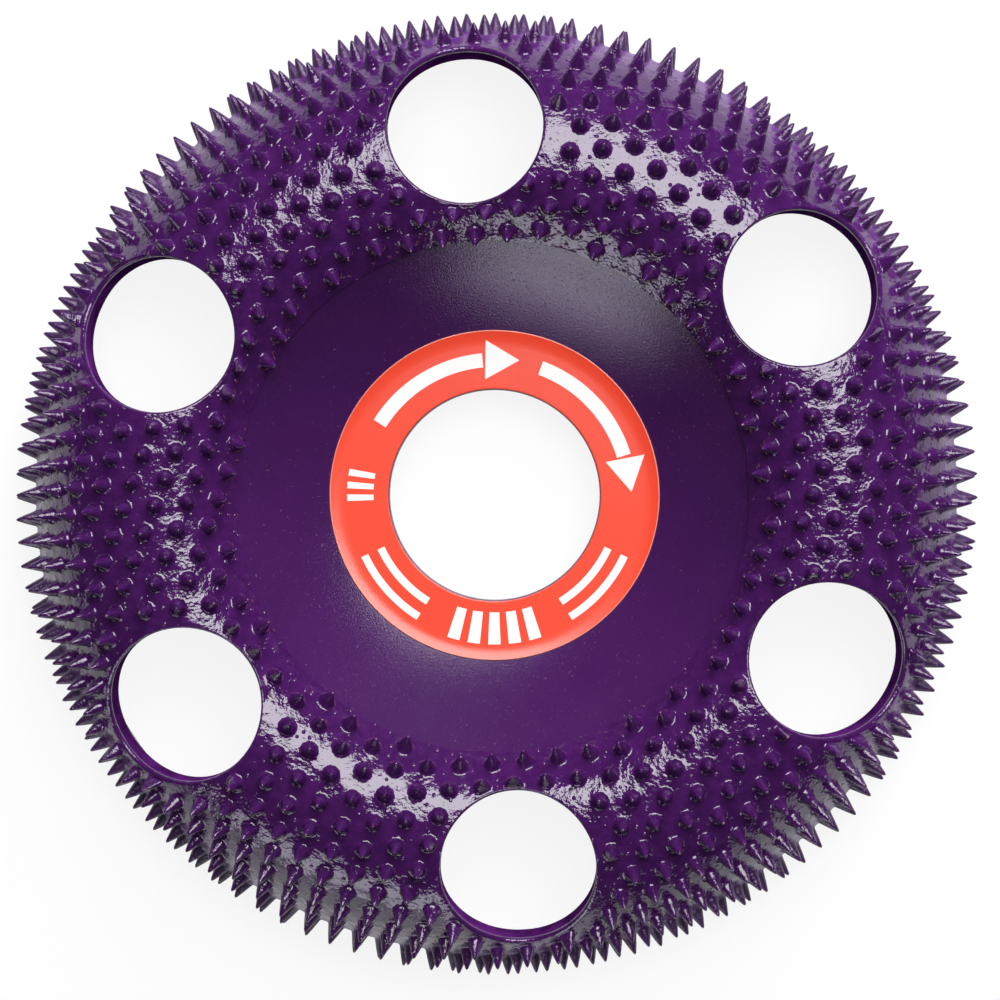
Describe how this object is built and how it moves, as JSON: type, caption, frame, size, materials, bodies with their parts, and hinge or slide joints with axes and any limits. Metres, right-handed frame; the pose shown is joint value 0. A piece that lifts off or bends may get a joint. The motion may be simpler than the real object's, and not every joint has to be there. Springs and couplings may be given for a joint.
{
  "type": "angle grinder carving disc",
  "caption": "Dished steel disc for an angle grinder, its rounded ring set with cone-shaped carbide teeth for shaping wood, with round windows and a flat clamping hub.",
  "frame": {"origin": "on the disc's axis, on the plane that the rim stands on when the disc lies with its teeth up", "axes": "+Z along the axis towards the toothed working side; +X and +Y across the disc, as the picture shows right and up"},
  "size_m": [0.1025, 0.1024, 0.0181],
  "materials": {
    "painted_steel": "smooth satin purple paint over pressed sheet steel",
    "tooth_coat": "glossy uneven purple coat over brazed carbide, with sharp cone teeth",
    "label": "printed orange-red paper label with plain white marks"
  },
  "bodies": {
    "root": {"steel_disc": "painted_steel", "tooth_coat": "tooth_coat", "center_label": "label"}
  },
  "joints": []
}
